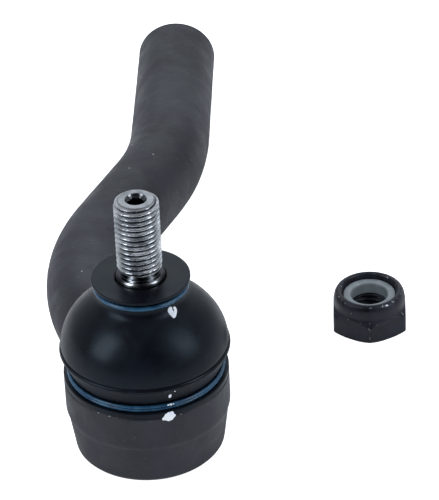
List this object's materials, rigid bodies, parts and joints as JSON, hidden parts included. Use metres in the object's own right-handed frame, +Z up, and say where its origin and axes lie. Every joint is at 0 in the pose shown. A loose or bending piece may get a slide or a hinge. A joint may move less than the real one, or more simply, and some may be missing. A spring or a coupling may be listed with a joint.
{
  "type": "tie rod end",
  "caption": "Steering tie rod end: forged head on a joggled shank, threaded ball stud in plastic seats, rubber dust boot and loose self-locking nut.",
  "frame": {"origin": "on the head's axis, in the plane of the head's bottom face", "axes": "+Z up along the ball stud, +Y towards the threaded end of the shank, +X to the right of the shank"},
  "size_m": [0.1023, 0.2109, 0.077],
  "materials": {
    "forged_steel": "satin dark grey dip coat",
    "stud_steel": "bright rolled thread",
    "seat_plastic": "natural acetal",
    "spring_steel": "oiled",
    "cover_steel": "satin dark grey dip coat",
    "boot_rubber": "satin moulded",
    "ring_blue": "semi gloss coated wire",
    "seal_ring": "smooth",
    "nut_steel": "black zinc flake",
    "nut_nylon": "smooth nylon"
  },
  "bodies": {
    "housing": {"tie_rod_forging": "forged_steel", "upper_bearing_seat": "seat_plastic", "lower_bearing_seat": "seat_plastic", "preload_spring": "spring_steel", "closing_cover": "cover_steel", "boot_bottom_ring": "ring_blue"},
    "boot": {"dust_boot": "boot_rubber"},
    "boot_top": {"boot_top_ring": "ring_blue", "stud_seal_ring": "seal_ring"},
    "stud": {"ball_stud": "stud_steel"},
    "nut": {"lock_nut": "nut_steel", "lock_nut_insert": "nut_nylon"}
  },
  "joints": [
    {"name": "stud_swing", "type": "hinge", "parent": "housing", "child": "boot", "pos_m": [0, 0, 0.016], "axis": [1, 0, 0], "range_deg": [-18, 18], "deforming": ["dust_boot"]},
    {"name": "stud_tilt", "type": "hinge", "parent": "boot", "child": "boot_top", "pos_m": [0, 0, 0.016], "axis": [0, 1, 0], "range_deg": [-18, 18], "deforming": ["dust_boot"]},
    {"name": "stud_spin", "type": "hinge", "parent": "boot_top", "child": "stud", "pos_m": [0, 0, 0.016], "axis": [0, 0, 1], "continuous": true},
    {"name": "nut_lift", "type": "slide", "parent": "housing", "child": "nut", "axis": [0, 0, 1], "range_m": [0, 0.05]}
  ]
}
